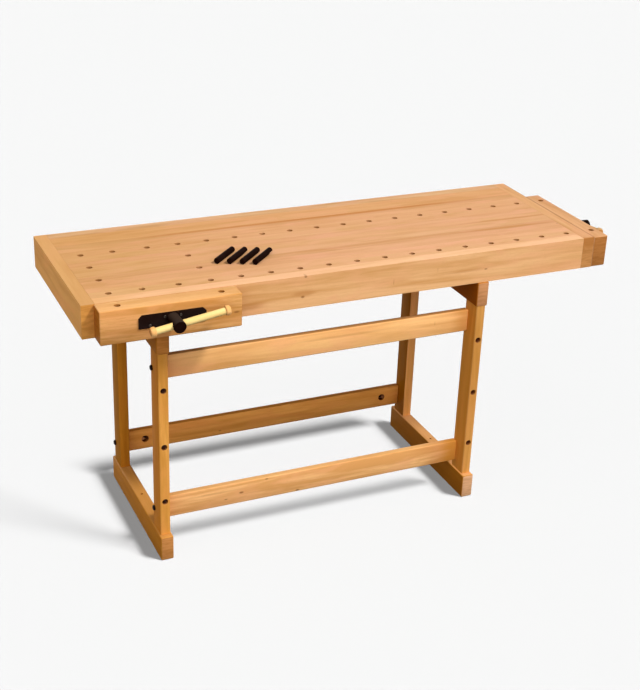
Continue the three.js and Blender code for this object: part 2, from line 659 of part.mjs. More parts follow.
// Four dogs lying side by side on the top, each a chamfered bar with a flat ground on its head.
function buildDogs() {
  const dogs = new THREE.Group();
  const radius = DOG_DIAMETER / 2;
  const end = DOG_LENGTH / 2;
  const bar = turned(
    [
      [0, -end],
      [radius - DOG_CHAMFER, -end],
      [radius, DOG_CHAMFER - end],
      [radius, end - DOG_CHAMFER],
      [radius - DOG_CHAMFER, end],
      [0, end],
    ],
    FINE_SIDES,
  );
  const flat = block(
    [radius - DOG_FLAT_DEPTH, DOG_DIAMETER],
    [end - DOG_FLAT_LENGTH, DOG_LENGTH],
    [-DOG_DIAMETER, DOG_DIAMETER],
  );
  const dog = bar.subtract(flat);
  for (const [i, roll] of DOG_ROLLS.entries()) {
    const mesh = piece(`bench_dog_${i + 1}`, dog, blackSteel);
    const spot = DOG_STEP.clone().multiplyScalar(i).add(DOG_PLACE);
    mesh.position.set(spot.x, spot.y, BENCH_HEIGHT + radius + SEAT_GAP);
    mesh.rotation.set(0, rad(roll), rad(DOG_ANGLE - 90), "ZYX");
    dogs.add(mesh);
  }
  return dogs;
}

const frontVise = buildVise("front_vise", {
  jawLength: FRONT_JAW_LENGTH,
  jawThickness: FRONT_JAW_THICKNESS,
  wall: APRON_THICKNESS,
  holes: viseColumns.map((x) => x - frontViseX),
  tilt: FRONT_HANDLE_TILT,
  shift: FRONT_HANDLE_SHIFT,
});
frontVise.position.x = frontViseX;

const tailVise = buildVise("tail_vise", {
  jawLength: TAIL_JAW_LENGTH,
  jawThickness: TAIL_JAW_THICKNESS,
  wall: END_CAP_WIDTH,
  holes: [rows[0], rows[3]].map((y) => y - tailViseY),
  tilt: TAIL_HANDLE_TILT,
  shift: TAIL_HANDLE_SHIFT,
});
tailVise.position.set(TOP_LENGTH, tailViseY, 0);
tailVise.rotation.z = Math.PI / 2;

// The finished bench stands with the middle of its outline over the origin and its feet on z = 0.
const rightReach = TOP_LENGTH + RUN_GAP + TAIL_JAW_THICKNESS + hubReach;
const frontReach = RUN_GAP + FRONT_JAW_THICKNESS + hubReach;
const bench = new THREE.Group();
bench.position.set(-rightReach / 2, -(TOP_DEPTH - frontReach) / 2, 0);
bench.add(buildTop(), frontVise, tailVise, buildBase(), buildDogs());

export default bench;
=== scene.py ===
"""Looks of a woodworking bench with two vises: wood, metal, small fittings, light and camera.

Metres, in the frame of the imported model: +X to the end vise, +Y to the rear, +Z up.
"""

import json
import math

import bpy
from mathutils import Matrix, Vector

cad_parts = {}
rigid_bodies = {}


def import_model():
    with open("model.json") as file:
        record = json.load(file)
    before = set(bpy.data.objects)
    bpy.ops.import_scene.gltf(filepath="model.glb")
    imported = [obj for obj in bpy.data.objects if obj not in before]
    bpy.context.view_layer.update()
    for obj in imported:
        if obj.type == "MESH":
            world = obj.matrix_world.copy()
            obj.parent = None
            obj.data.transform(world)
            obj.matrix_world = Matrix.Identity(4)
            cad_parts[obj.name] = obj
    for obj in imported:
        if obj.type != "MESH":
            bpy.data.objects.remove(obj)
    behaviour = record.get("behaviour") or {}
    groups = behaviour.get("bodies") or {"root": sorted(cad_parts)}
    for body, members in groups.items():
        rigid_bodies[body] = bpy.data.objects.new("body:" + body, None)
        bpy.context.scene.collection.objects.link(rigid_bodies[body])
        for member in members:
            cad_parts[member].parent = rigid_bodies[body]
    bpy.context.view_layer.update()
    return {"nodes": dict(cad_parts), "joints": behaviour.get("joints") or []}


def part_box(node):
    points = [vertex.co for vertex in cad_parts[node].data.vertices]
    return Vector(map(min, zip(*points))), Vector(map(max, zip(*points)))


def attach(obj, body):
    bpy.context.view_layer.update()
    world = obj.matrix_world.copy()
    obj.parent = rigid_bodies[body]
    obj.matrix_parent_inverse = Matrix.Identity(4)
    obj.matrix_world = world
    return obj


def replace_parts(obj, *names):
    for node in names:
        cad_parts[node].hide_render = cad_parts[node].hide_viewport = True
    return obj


# Nothing of the start-up scene stays
for start_object in list(bpy.data.objects):
    bpy.data.objects.remove(start_object)

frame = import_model()
nodes = frame["nodes"]
joints = {joint["name"]: joint for joint in frame["joints"]}

# Camera, as the photograph was taken
CAMERA_PLACE = (-1.745217, -3.623359, 2.421614)
CAMERA_AZIMUTH = -24.724
CAMERA_ELEVATION = 25.206
CAMERA_ROLL = 2.234
CAMERA_REACH = 200.0
FOCAL_PIXELS = 1333.5
IMAGE_LONG_SIDE = 690
SENSOR = 36.0

# Light: brightness is what a white surface that faces the lamp shows, angles are in degrees
KEY_FROM = (0.62, -0.54, 1.0)
KEY_BRIGHTNESS = 0.78
KEY_ANGLE = 10.0
KEY_PASSES = ("right_front_leg", "right_bearer")  # cast no shadow in the key light
BACK_FROM = (-0.20, 1.00, 0.03)
BACK_BRIGHTNESS = 0.60
BACK_ANGLE = 20.0
FILL_FROM = Vector((-0.50, -0.85, 0.10)).normalized()
FILL_BRIGHTNESS = 1.5
SKY_BRIGHTNESS = 0.17
BACKGROUND = 0.94

# Floor: each lamp has its start, angle and share of the light, and the pieces that block it
FLOOR_COLOR = 0.10
FLOOR_BRIGHTNESS = 8.77
FLOOR_GLOW = 0.01
FLOOR_BOUNCE = 0.010
FLOOR_HALF = 40.0
FLOOR_DROP = 0.0002
FEET = ("left_foot", "right_foot")
FLOOR_LAMPS = {
    "front_rail_lamp": ((0.60, -0.40, 1.0), 12.0, 0.12, (*FEET, "lower_front_stretcher")),
    "low_rail_lamp": ((0.60, -0.53, 1.0), 12.0, 0.40, (*FEET, "rear_stretcher", "lower_front_stretcher")),
    "rear_rail_lamp": ((0.50, -0.76, 1.0), 12.0, 0.24, ("rear_stretcher",)),
    "near_leg_lamp": ((0.80, -0.80, 1.0), 15.0, 0.24, (*FEET, "rear_stretcher", "left_front_leg")),
}

# Vise screws
SCREW_RADIUS = 0.011
SCREW_SIDES = 32
THREAD_ROOT = 0.0088
THREAD_PITCH = 0.006
THREAD_STEPS = 24  # to a turn
THREAD_PROFILE = ((0.0, 0.0), (0.36, 0.0), (0.50, 1.0), (0.86, 1.0))  # share of pitch, share of depth
COLLAR_RADIUS = 0.015
COLLAR_THICKNESS = 0.006
JAW_TO_COLLAR = 0.0004
SPIGOT_RADIUS = 0.008
SPIGOT_LENGTH = 0.028

# Small fasteners
HEAD_SIDES = 24
HEAD_PROFILE = ((1.0, 0.0), (1.0, 0.45), (0.92, 0.72), (0.74, 0.93), (0.62, 1.0))  # shares across, up
SOCKET_FLOOR = 0.4  # share of height
PLATE_SCREWS = ((-0.068, -0.012), (-0.0235, 0.009), (0.0235, 0.009), (0.068, -0.012))  # across, up
PLATE_SCREW_RADIUS = 0.0042
PLATE_SCREW_HEIGHT = 0.0022
PLATE_SCREW_SOCKET = 0.0026
PLATE_SCREW_LENGTH = 0.003
BOLT_HEAD_RADIUS = 0.009
BOLT_HEAD_HEIGHT = 0.006
BOLT_SOCKET = 0.0055
BOLT_RADIUS = 0.004
NUT_SCREW_SPREAD = 0.028
NUT_SCREW_RADIUS = 0.005
NUT_SCREW_HEIGHT = 0.004
NUT_SCREW_SOCKET = 0.0035
NUT_SCREW_LENGTH = 0.004

# Edges: how far they are eased, and angles in degrees
WOOD_EDGE = 0.0004
GLUED_EDGE = 0.00015
TAIL_JAW_EDGE = 0.001
PLATE_EDGE = 0.0005
CASTING_EDGE = 0.0015
WELD_REACH = 1e-6
SMOOTH_ANGLE = 32.0
FLAT_ANGLE = 1.0
SHARP_ANGLE = 40.0

# Woods, each a pale tone, a dark tone and a blush that drifts over both
BEECH = ((0.83, 0.445, 0.195), (0.66, 0.305, 0.100), (0.82, 0.395, 0.185))
SIDE_BEECH = ((0.80, 0.420, 0.165), (0.62, 0.280, 0.082), (0.78, 0.360, 0.150))
AMBER_BEECH = ((0.80, 0.365, 0.080), (0.62, 0.255, 0.042), (0.76, 0.310, 0.070))
HONEY_BEECH = ((0.85, 0.455, 0.170), (0.66, 0.300, 0.088), (0.80, 0.370, 0.150))
BIRCH = ((0.98, 0.740, 0.300), (0.90, 0.610, 0.210), (0.96, 0.680, 0.270))
END_GRAIN = ((0.60, 0.275, 0.088), (0.49, 0.210, 0.061))
KNOT = (0.22, 0.075, 0.020)
# Tone of dark heartwood streaks, also used for painted shade at the stretchers' right ends.
HEARTWOOD_AND_SHADE = (0.50, 0.195, 0.050)
YELLOWED = (0.72, 0.375, 0.140)
SHADED = (0.52, 0.210, 0.030)
# Painted shade deep in holes: the tones the wood darkens to, and the reach of that darkening.
HOLE = (0.29, 0.095, 0.012)
DEEP_HOLE = (0.075, 0.006, 0.0)
HOLE_REACH = 0.03
EVEN = (1.0, 1.0, 1.0)

# Grain: length and width of its streaks, then detail and distortion of the noise
GRAIN = {
    "figure": (0.36, 0.026, 4.0, 0.6),
    "cloud": (0.17, 0.060, 2.0, 0.8),
    "ripple": (0.045, 0.0055, 2.0, 0.5),
    "fibre": (0.04, 0.0014, 2.0, 0.0),
}
FLAME = (0.55, 0.020)
FLECK = (0.011, 0.0021)
RINGS_ACROSS = 130.0
RINGS_ALONG = 22.0
PORES = 900.0
FADE_FROM, FADE_TO = -0.9, -0.1  # along the bench
CALM_SHARE = 0.4
WOOD_ROUGHNESS = 0.40
WOOD_RELIEF = 0.0001
WOOD_GLOSS = 0.02
PIECE_SEED, BAR_SEED, KNOB_SEED, DOWEL_SEED = 5, 40, 42, 44
SEED_STEP = (1.31, 0.77, 2.03)
STRIP_START, STRIP_STEP = 0.37, 0.618  # the grain's jump from strip to strip, as a share
STRIP_JUMP = (9.0, 5.0, 7.0)

AXES = {"x": 0, "y": 1, "z": 2}
UP = Vector((0.0, 0.0, 1.0))
LEFT = Vector((-1.0, 0.0, 0.0))


class Graph:
    """The nodes of a material or of the world, with short calls that add one and link it."""

    def __init__(self, tree):
        self.tree = tree
        tree.nodes.clear()

    def feed(self, socket, value):
        if isinstance(value, bpy.types.NodeSocket):
            self.tree.links.new(value, socket)
        else:
            socket.default_value = value

    def add(self, kind, inputs=(), **settings):
        node = self.tree.nodes.new(kind)
        for key, value in settings.items():
            setattr(node, key, value)
        for key, value in dict(inputs).items():
            self.feed(node.inputs[key], value)
        return node

    def math(self, operation, first, second=0.0):
        return self.add("ShaderNodeMath", {0: first, 1: second}, operation=operation).outputs[0]

    def vector(self, operation, first, second=(0.0, 0.0, 0.0)):
        return self.add("ShaderNodeVectorMath", {0: first, 1: second}, operation=operation).outputs

    def mix(self, share, first, second, blend="MIX"):
        node = self.add("ShaderNodeMix", {0: share}, data_type="RGBA", blend_type=blend)
        self.feed(node.inputs[6], first)
        self.feed(node.inputs[7], second)
        return node.outputs[2]

    def rise(self, value, low, high, top=1.0):
        """0 below low, top above high and smooth between."""
        return self.add(
            "ShaderNodeMapRange",
            {"Value": value, "From Min": low, "From Max": high, "To Max": top},
            interpolation_type="SMOOTHSTEP",
        ).outputs[0]

    def fall(self, value, low, high):
        """1 below low, 0 above high and smooth between."""
        return self.math("SUBTRACT", 1.0, self.rise(value, low, high))

    def blend(self, first, second, share):
        """The sum of two values, with the second one's share."""
        parts = self.math("MULTIPLY", first, 1.0 - share), self.math("MULTIPLY", second, share)
        return self.math("ADD", *parts)

    def coordinate(self, name):
        return self.add("ShaderNodeTexCoord").outputs[name]

    def facing(self, direction):
        """How far a face looks one way: 1 straight at it, -1 straight away."""
        return self.vector("DOT_PRODUCT", self.coordinate("Normal"), direction)["Value"]

    def split(self, vector):
        return self.add("ShaderNodeSeparateXYZ", {0: vector}).outputs

    def scaled(self, vector, scale, shift):
        return self.add(
            "ShaderNodeMapping", {"Vector": vector, "Scale": scale, "Location": shift}
        ).outputs[0]

    def noise(self, vector, scale=1.0, detail=2.0, distortion=0.0):
        return self.add(
            "ShaderNodeTexNoise",
            {"Vector": vector, "Scale": scale, "Detail": detail, "Distortion": distortion},
        ).outputs[0]

    def surface(self, color, roughness, height, bump, **fixed):
        """A glossy surface with relief; fixed values go straight on the shader's sockets."""
        shader = self.add("ShaderNodeBsdfPrincipled", {"Base Color": color, "Roughness": roughness})
        for key, value in fixed.items():
            shader.inputs[key.replace("_", " ")].default_value = value
        relief = self.add("ShaderNodeBump", {"Height": height, "Distance": bump, "Strength": 1.0})
        self.feed(shader.inputs["Normal"], relief.outputs[0])
        self.add("ShaderNodeOutputMaterial", {"Surface": shader.outputs[0]})


def new_material(name):
    material = bpy.data.materials.new(name)
    material.use_nodes = True
    return material, Graph(material.node_tree)


def rgba(color):
    return (*color, 1.0)


def tinted(color, tint):
    return tuple(channel * share for channel, share in zip(color, tint))


def strip_ramp(g, place, across, strips):
    """Tone and grain offset of glued strips, given as (upper edge, tone) after the first lower edge."""
    low, high = strips[0][0], strips[-1][0]
    node = g.add("ShaderNodeValToRGB")
    ramp = node.color_ramp
    ramp.interpolation = "CONSTANT"
    ramp.elements.remove(ramp.elements[-1])
    for i, ((edge, _), (_, tone)) in enumerate(zip(strips, strips[1:])):
        start = (edge - low) / (high - low)
        element = ramp.elements[0] if i == 0 else ramp.elements.new(start)
        element.color = (*tone, (STRIP_START + STRIP_STEP * i) % 1.0)
    offset = g.math("SUBTRACT", g.split(place)[AXES[across]], low)
    g.feed(node.inputs[0], g.math("DIVIDE", offset, high - low))
    return node.outputs["Color"], node.outputs["Alpha"]


def grain_noises(g, place, axis, shift):
    """The noises of grain along an axis, by name."""

    def stretched(length, width):
        scale = [1.0 / width] * 3
        scale[AXES[axis]] = 1.0 / length
        return g.scaled(place, scale, shift)

    noises = {}
    for name, (length, width, detail, distortion) in GRAIN.items():
        noises[name] = g.noise(stretched(length, width), 1.0, detail, distortion)
    noises["flame"] = g.add(
        "ShaderNodeTexWave",
        {"Vector": stretched(*FLAME), "Scale": 1.0, "Distortion": 5.0, "Detail": 2.0, "Detail Scale": 0.7},
        bands_direction="DIAGONAL",
    ).outputs["Fac"]
    cells = g.add("ShaderNodeTexVoronoi", {"Vector": stretched(*FLECK), "Scale": 1.0})
    noises["fleck"] = g.fall(cells.outputs["Distance"], 0.08, 0.26)
    return noises


def long_grain(g, noises, tones, contrast):
    """The colour of a face along the grain."""
    pale, dark, blush = (rgba(tone) for tone in tones)
    fleck_tone = rgba(tinted(tones[1], (0.7, 0.7, 0.7)))
    spread = 0.17 / contrast
    color = g.mix(g.rise(noises["figure"], 0.5 - spread, 0.5 + spread), dark, pale)
    color = g.mix(g.rise(noises["flame"], 0.55, 1.0, 0.20 * contrast), color, dark)
    color = g.mix(g.rise(noises["cloud"], 0.42, 0.68, 0.60), color, blush)
    color = g.mix(g.rise(noises["ripple"], 0.48, 0.72, 0.30 * contrast), color, dark)
    color = g.mix(g.rise(noises["fibre"], 0.50, 0.80, 0.18), color, dark)
    return g.mix(g.math("MULTIPLY", noises["fleck"], 0.28), color, fleck_tone)


def end_grain(g, place, grain_place, axis, shift, tint):
    """The colour of a face across the grain."""
    scale = [RINGS_ALONG] * 3
    scale[1 if axis == "z" else 2] = RINGS_ACROSS
    rings = g.noise(g.scaled(grain_place, scale, shift), 1.0, 3.0, 0.4)
    pores = g.noise(g.scaled(place, (PORES, PORES, PORES), shift))
    pale, dark = (rgba(tinted(tone, tint)) for tone in END_GRAIN)
    return g.mix(g.rise(g.blend(rings, pores, 0.25), 0.36, 0.62), dark, pale)


def marked(g, color, place, figure, marks):
    """A colour with darker places, whose outlines follow the figure of the wood."""
    wave = g.math("MULTIPLY", g.math("SUBTRACT", figure, 0.5), 0.9)
    for tone, strength, middle, half in marks:
        away = g.vector("DIVIDE", g.vector("SUBTRACT", place, middle)[0], half)[0]
        away = g.math("ADD", g.vector("LENGTH", away)["Value"], wave)
        share = g.math("MULTIPLY", g.fall(away, 0.25, 1.0), strength)
        color = g.mix(share, color, rgba(tone))
    return color


def wood(
    name, tones, axis, seed, contrast=1.0, strips=None, marks=(), tint=EVEN, end_tint=EVEN, faces=(),
    left_fade=None, hole=HOLE,
):
    """Planed and oiled wood with its grain along an axis and darker end grain.

    strips is (axis across, edges and tones). Each mark is a darker place in the frame: tone, strength,
    middle and half size. faces tints the faces that look one way, painted light and shade that lightens
    or darkens them, left_fade the wood's left end. hole is the tone deep in its holes, painted shade.
    """
    material, g = new_material(name)
    place = g.coordinate("Object")
    shift = tuple(seed * step for step in SEED_STEP)
    tones = [tinted(tone, tint) for tone in tones]
    grain_place = place
    if strips:
        strip_tone, strip_shift = strip_ramp(g, place, *strips)
        jump = g.add("ShaderNodeCombineXYZ", {0: strip_shift, 1: strip_shift, 2: strip_shift}).outputs[0]
        grain_place = g.vector("ADD", place, g.vector("MULTIPLY", jump, STRIP_JUMP)[0])[0]
    noises = grain_noises(g, grain_place, axis, shift)

    color = long_grain(g, noises, tones, contrast)
    if strips:
        color = g.mix(1.0, color, strip_tone, "MULTIPLY")
    if left_fade:
        leftness = g.fall(g.split(place)[0], FADE_FROM, FADE_TO)
        color = g.mix(leftness, color, g.mix(1.0, color, rgba(left_fade), "MULTIPLY"))
    # Painted light and shade: faces that look up or left take a lighter or darker tint, over calmer grain.
    for direction, painted_light_tint in faces:
        calm = g.mix(CALM_SHARE, color, rgba(tones[0]))
        face = g.mix(1.0, calm, rgba(painted_light_tint), "MULTIPLY")
        color = g.mix(g.rise(g.facing(direction), 0.75, 0.95), color, face)
    endness = g.math("ABSOLUTE", g.split(g.coordinate("Normal"))[AXES[axis]])
    end = end_grain(g, place, grain_place, axis, shift, end_tint)
    color = g.mix(g.rise(endness, 0.72, 0.86), color, end)
    color = marked(g, color, place, noises["figure"], marks)
    # Painted shade: the wood darkens towards the hole tone deep in holes and recesses.
    openness = g.add("ShaderNodeAmbientOcclusion", {"Distance": HOLE_REACH}, only_local=True)
    color = g.mix(g.rise(openness.outputs["AO"], 0.05, 0.70), rgba(hole), color)

    roughness = g.math("ADD", WOOD_ROUGHNESS, g.math("MULTIPLY", noises["fibre"], 0.18))
    height = g.math("SUBTRACT", noises["fibre"], g.math("MULTIPLY", noises["fleck"], 0.5))
    g.surface(color, roughness, height, WOOD_RELIEF, Specular_IOR_Level=WOOD_GLOSS)
    return material


def metal(name, color, worn, roughness, grain, bump, upper=None, **fixed):
    """Metal whose colour, gloss and surface vary with a coarse and a fine grain, given as scales.

    upper is a lighter tone for faces that look up, a painted highlight where light falls on the top.
    """
    material, g = new_material(name)
    place = g.coordinate("Object")
    coarse = g.noise(place, grain[0], 3.0)
    fine = g.noise(place, grain[1], 2.0)
    shade = g.mix(g.rise(g.blend(coarse, fine, 0.4), 0.42, 0.66), rgba(color), rgba(worn))
    if upper:
        # Painted highlight: faces that look up take the lighter upper tone, mottled by the coarse grain.
        painted_top_light = g.math("ADD", g.facing(UP), g.math("MULTIPLY", coarse, 0.3))
        shade = g.mix(g.rise(painted_top_light, 0.3, 1.1), shade, rgba(upper))
    gloss = g.math("ADD", roughness, g.math("MULTIPLY", g.math("SUBTRACT", fine, 0.5), 0.25))
    g.surface(shade, gloss, fine, bump, **fixed)
    return material


def smooth_by_angle():
    """A modifier's node group that shades gentle edges smooth and keeps the rest sharp."""
    group = bpy.data.node_groups.new("smooth_by_angle", "GeometryNodeTree")
    for side in ("INPUT", "OUTPUT"):
        group.interface.new_socket("Geometry", in_out=side, socket_type="NodeSocketGeometry")
    source = group.nodes.new("NodeGroupInput")
    sink = group.nodes.new("NodeGroupOutput")
    bare = group.nodes.new("GeometryNodeRemoveAttribute")
    bare.inputs["Name"].default_value = "custom_normal"
    angle = group.nodes.new("GeometryNodeInputMeshEdgeAngle")
    gentle = group.nodes.new("FunctionNodeCompare")
    gentle.data_type = "FLOAT"
    gentle.operation = "LESS_THAN"
    gentle.inputs[1].default_value = math.radians(SMOOTH_ANGLE)
    faces = group.nodes.new("GeometryNodeSetShadeSmooth")
    faces.domain = "FACE"
    edges = group.nodes.new("GeometryNodeSetShadeSmooth")
    edges.domain = "EDGE"
    link = group.links.new
    link(source.outputs[0], bare.inputs["Geometry"])
    link(bare.outputs[0], faces.inputs["Geometry"])
    link(faces.outputs[0], edges.inputs["Geometry"])
    link(angle.outputs["Unsigned Angle"], gentle.inputs[0])
    link(gentle.outputs[0], edges.inputs["Shade Smooth"])
    link(edges.outputs[0], sink.inputs[0])
    return group


SMOOTH = smooth_by_angle()


def dress(node, material, eased=0.0):
    """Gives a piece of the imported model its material, joins its facets, eases its edges and shades it."""
    obj = nodes[node]
    obj.data.materials.clear()
    obj.data.materials.append(material)
    weld = obj.modifiers.new("weld", "WELD")
    weld.merge_threshold = WELD_REACH
    if eased:
        flat = obj.modifiers.new("flat_faces", "DECIMATE")
        flat.decimate_type = "DISSOLVE"
        flat.angle_limit = math.radians(FLAT_ANGLE)
        edge = obj.modifiers.new("eased_edges", "BEVEL")
        edge.width = eased
        edge.segments = 1
        edge.limit_method = "ANGLE"
        edge.angle_limit = math.radians(SHARP_ANGLE)
    obj.modifiers.new("smooth", "NODES").node_group = SMOOTH


def new_piece(name, shell, material, body):
    """A piece of the scene's own, from points and faces, that moves with a body."""
    points, faces = shell
    mesh = bpy.data.meshes.new(name)
    mesh.from_pydata([tuple(point) for point in points], [], faces)
    mesh.update()
    mesh.materials.append(material)
    obj = bpy.data.objects.new(name, mesh)
    bpy.context.scene.collection.objects.link(obj)
    obj.modifiers.new("smooth", "NODES").node_group = SMOOTH
    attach(obj, body)
    return obj


def placed(origin, direction):
    """Maps (x, y, distance) to the frame, with distance along direction from origin."""
    turn = Vector(direction).to_track_quat("Z", "X").to_matrix()
    start = Vector(origin)
    return lambda x, y, z: start + turn @ Vector((x, y, z))


def joined(shells):
    """Several shells' points and faces as one list each."""
    points, faces = [], []
    for shell_points, shell_faces in shells:
        base = len(points)
        points += shell_points
        faces += [tuple(base + i for i in face) for face in shell_faces]
    return points, faces


def turned(rings, place, sides):
    """A closed shell about an axis. Each ring is (radius or function of the turn, distance)."""
    points = [place(0.0, 0.0, rings[0][1])]
    for radius, distance in rings:
        for i in range(sides):
            turn = 2 * math.pi * i / sides
            reach = radius(turn) if callable(radius) else radius
            points.append(place(reach * math.cos(turn), reach * math.sin(turn), distance))
    points.append(place(0.0, 0.0, rings[-1][1]))
    faces = []
    last = len(points) - 1
    for i in range(sides):
        j = (i + 1) % sides
        faces.append((0, 1 + j, 1 + i))
        for ring in range(len(rings) - 1):
            a = 1 + ring * sides
            faces.append((a + i, a + j, a + sides + j, a + sides + i))
        faces.append((last, last - sides + i, last - sides + j))
    return points, faces


def socket_head(radius, height, socket, shank, length, place):
    """A domed screw head with a hexagon socket and a plain shank, standing on distance 0."""

    def hexagon(turn):
        return socket / 2 / math.cos((turn + math.pi / 6) % (math.pi / 3) - math.pi / 6)

    rings = [(shank, -length), (shank, 0.0)]
    rings += [(radius * across, height * up) for across, up in HEAD_PROFILE]
    rings += [(hexagon, height), (hexagon, height * SOCKET_FLOOR)]
    return turned(rings, place, HEAD_SIDES)


def thread(start, end, place):
    """A closed trapezoidal screw thread between two distances."""
    total = int(((end - start) / THREAD_PITCH - 1) * THREAD_STEPS)
    width = len(THREAD_PROFILE)
    crest = width - 1
    points = []
    for i in range(total + 1):
        turn = 2 * math.pi * i / THREAD_STEPS
        base = start + THREAD_PITCH * i / THREAD_STEPS
        for share, rise in THREAD_PROFILE:
            radius = THREAD_ROOT + (SCREW_RADIUS - THREAD_ROOT) * rise
            points.append(
                place(radius * math.cos(turn), radius * math.sin(turn), base + share * THREAD_PITCH)
            )
    faces = []
    next_turn = THREAD_STEPS * width
    for i in range(total):
        a, b = i * width, (i + 1) * width
        faces += [(a + j, b + j, b + j + 1, a + j + 1) for j in range(crest)]
        if i + THREAD_STEPS < total:
            faces.append((a + crest, b + crest, b + next_turn, a + next_turn))
    first = [i * width for i in range(THREAD_STEPS + 1)] + list(range(crest, 0, -1))
    final = [i * width + crest for i in range(total - THREAD_STEPS, total + 1)]
    final += [total * width + j for j in range(crest - 1, -1, -1)]
    for loop, distance in ((first[::-1], start + THREAD_PITCH / 2), (final, end - THREAD_PITCH / 2)):
        centre = len(points)
        points.append(place(0.0, 0.0, distance))
        faces += [(centre, a, b) for a, b in zip(loop, loop[1:] + loop[:1])]
    return points, faces


def board_strips(node, widths_and_tones):
    """Edges and tones of a board's strips, from its front edge to its rear edge."""
    low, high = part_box(node)
    edges = [(low.y, None)]
    for width, tone in widths_and_tones:
        edges.append((edges[-1][0] + width, tone))
    edges[-1] = (high.y, edges[-1][1])
    return "y", edges


def marks_on(node, *marks):
    """Marks of a piece: tone, strength, middle from its left, front and lower corner, and half size."""
    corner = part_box(node)[0]
    return tuple((tone, strength, corner + Vector(middle), half) for tone, strength, middle, half in marks)


def shaded_end(node, far, near):
    """Marks of painted shade on a stretcher's right end, where the leg shades it, with their strength far
    from the leg and near it.
    """
    low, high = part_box(node)
    end = (high.x, low.y, (low.z + high.z) / 2)
    return (HEARTWOOD_AND_SHADE, far, end, (0.20, 0.1, 0.4)), (SHADED, near, end, (0.08, 0.1, 0.4))


def cap_marks(node):
    """The dark joint line along an end cap's outer top edge, and the dark upper part of its front end."""
    low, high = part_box(node)
    front = ((low.x + high.x) / 2, low.y, high.z - 0.010)
    return (
        (KNOT, 0.85, (high.x, 0.0, high.z), (0.003, 1.2, 0.004)),
        (HEARTWOOD_AND_SHADE, 0.85, front, (0.09, 0.01, 0.038)),
    )


# Marks in the wood
APRON_MARKS = marks_on(
    "front_apron",
    (KNOT, 0.75, (0.653, 0.0, 0.037), (0.009, 0.02, 0.006)),
    (HEARTWOOD_AND_SHADE, 0.40, (0.657, 0.0, 0.047), (0.050, 0.02, 0.016)),
    (KNOT, 0.60, (0.661, 0.0, 0.102), (0.007, 0.02, 0.006)),
    (KNOT, 0.75, (1.291, 0.0, 0.045), (0.010, 0.02, 0.004)),
    (HEARTWOOD_AND_SHADE, 0.35, (1.227, 0.0, 0.047), (0.120, 0.02, 0.008)),
    (HEARTWOOD_AND_SHADE, 0.55, (0.961, 0.0, 0.044), (0.002, 0.02, 0.014)),
    (HEARTWOOD_AND_SHADE, 0.45, (1.115, 0.0, 0.065), (0.002, 0.02, 0.010)),
    (HEARTWOOD_AND_SHADE, 0.50, (0.477, 0.0, 0.027), (0.090, 0.02, 0.018)),
    (YELLOWED, 0.60, (0.017, 0.020, 0.105), (0.190, 0.06, 0.020)),
)
JAW_MARKS = marks_on(
    "front_vise_jaw",
    (KNOT, 0.60, (0.409, 0.0, 0.048), (0.012, 0.02, 0.005)),
    (HEARTWOOD_AND_SHADE, 0.45, (0.330, 0.0, 0.073), (0.160, 0.02, 0.012)),
    (HEARTWOOD_AND_SHADE, 0.40, (0.070, 0.0, 0.020), (0.110, 0.02, 0.010)),
)
REAR_STREAKS = marks_on(
    "rear_dog_board",
    (HEARTWOOD_AND_SHADE, 0.90, (0.975, 0.1525, 0.03), (0.740, 0.026, 0.2)),
    (HEARTWOOD_AND_SHADE, 0.40, (0.545, 0.1485, 0.03), (0.380, 0.016, 0.2)),
)
MIDDLE_STREAKS = marks_on(
    "middle_board",
    (HEARTWOOD_AND_SHADE, 0.50, (1.455, 0.0615, 0.03), (0.280, 0.012, 0.2)),
    (HEARTWOOD_AND_SHADE, 0.45, (1.495, 0.1315, 0.03), (0.240, 0.010, 0.2)),
    (HEARTWOOD_AND_SHADE, 0.25, (0.945, 0.0695, 0.03), (0.300, 0.010, 0.2)),
    (KNOT, 0.50, (1.652, 0.0415, 0.03), (0.008, 0.004, 0.2)),
)
LOWER_STRETCHER_MARKS = marks_on(
    "lower_front_stretcher",
    (KNOT, 0.75, (0.255, 0.0, 0.038), (0.010, 0.02, 0.005)),
    (KNOT, 0.60, (0.342, 0.0, 0.071), (0.008, 0.02, 0.004)),
    (KNOT, 0.75, (0.452, 0.0, 0.005), (0.010, 0.02, 0.005)),
    (KNOT, 0.60, (0.202, 0.0, 0.023), (0.008, 0.02, 0.003)),
    (HEARTWOOD_AND_SHADE, 0.40, (0.172, 0.0, 0.053), (0.130, 0.02, 0.006)),
    # Painted shade towards the right end, near the leg.
    (HEARTWOOD_AND_SHADE, 0.30, (1.032, 0.0, 0.038), (0.160, 0.02, 0.090)),
)
UPPER_STRETCHER_MARKS = marks_on(
    "upper_front_stretcher",
    (HEARTWOOD_AND_SHADE, 0.35, (0.572, 0.0, 0.051), (0.250, 0.02, 0.007)),
    (HEARTWOOD_AND_SHADE, 0.45, (0.922, 0.0, 0.046), (0.002, 0.02, 0.012)),
)
REAR_STRETCHER_MARKS = marks_on(
    "rear_stretcher",
    (KNOT, 0.60, (0.342, 0.0, 0.018), (0.007, 0.02, 0.004)),
)

# Glued strips of the boards, from the front to the rear: width and tone
PINK = (1.01, 0.975, 1.01)
YELLOW = (0.985, 0.975, 0.93)
DEEP = (0.935, 0.90, 0.86)
BOARD_STRIPS = {
    "front_dog_board": [(0.038, EVEN), (0.036, PINK)],
    "middle_board": [(0.049, PINK), (0.032, DEEP), (0.040, EVEN), (0.043, YELLOW), (0.039, PINK)],
    "rear_dog_board": [(0.044, EVEN), (0.038, PINK), (0.040, PINK), (0.031, DEEP)],
    "rear_board": [(0.046, YELLOW), (0.028, YELLOW)],
}
YELLOW_LEFT = (0.92, 0.92, 0.77)


def board(node, **look):
    """The wood of a board of the top: yellower to the left, in strips."""
    strips = board_strips(node, BOARD_STRIPS[node])
    return BEECH, "x", {"contrast": 0.34, "strips": strips, "left_fade": YELLOW_LEFT, **look}
